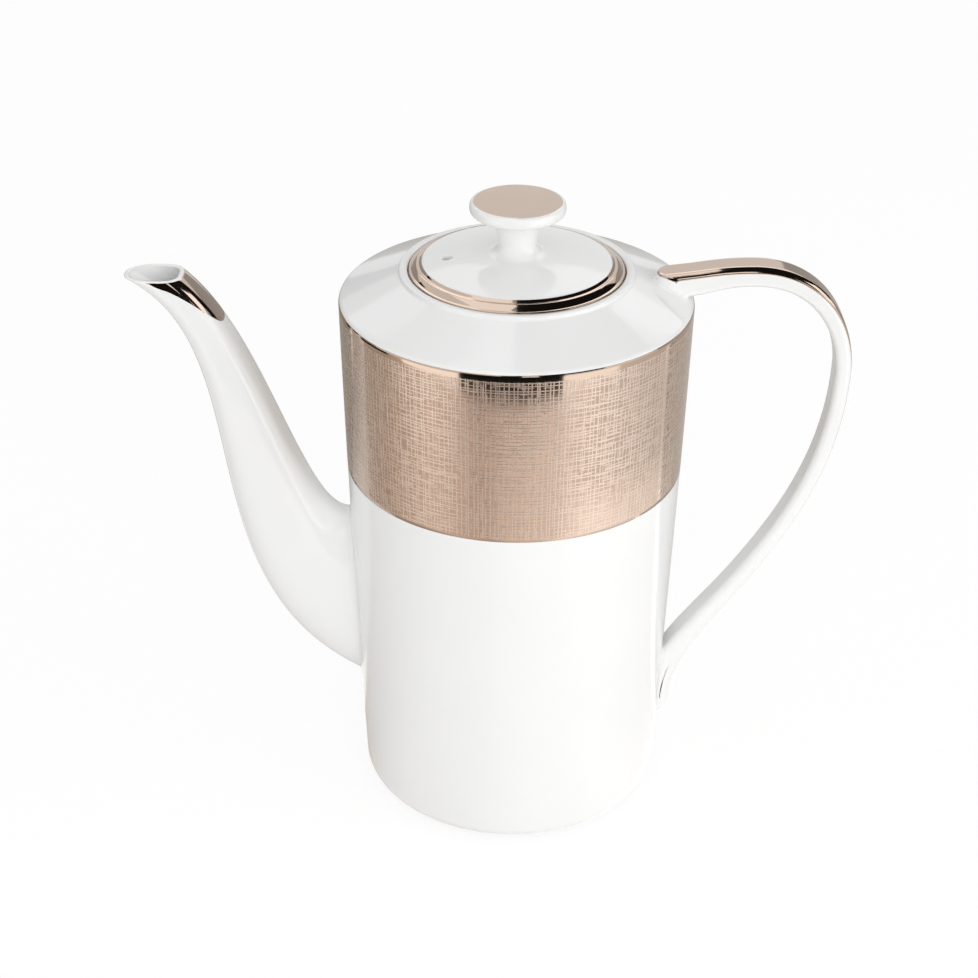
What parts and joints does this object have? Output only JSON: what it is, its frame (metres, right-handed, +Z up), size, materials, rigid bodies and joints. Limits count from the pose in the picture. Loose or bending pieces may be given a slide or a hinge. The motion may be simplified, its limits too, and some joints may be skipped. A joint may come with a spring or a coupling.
{
  "type": "coffee pot",
  "caption": "Tall china coffee pot: tapered round body, high hollow spout, loop handle, lift-off lid with a disc knob, metallic lustre trim.",
  "frame": {"origin": "middle of the foot ring, on the surface that the pot stands on", "axes": "+Z up along the body's axis, +X towards the handle, -X towards the spout"},
  "size_m": [0.2274, 0.11, 0.2077],
  "materials": {
    "glazed_china": "gloss",
    "bare_china": "matte",
    "linen_lustre": "satin, linen texture",
    "plain_lustre": "satin"
  },
  "bodies": {
    "pot": {"body_shell": "glazed_china", "foot_ring": "bare_china", "spout": "glazed_china", "handle": "glazed_china", "body_band_lustre": "linen_lustre", "spout_lip_lustre": "plain_lustre", "handle_stripe_lustre": "plain_lustre"},
    "lid": {"lid_shell": "glazed_china", "lid_flange": "glazed_china", "lid_rim_lustre": "plain_lustre", "knob": "glazed_china", "knob_cap_lustre": "plain_lustre"}
  },
  "joints": [
    {"name": "lid_lift", "type": "slide", "parent": "pot", "child": "lid", "axis": [0, 0, 1], "range_m": [0, 0.06]}
  ]
}
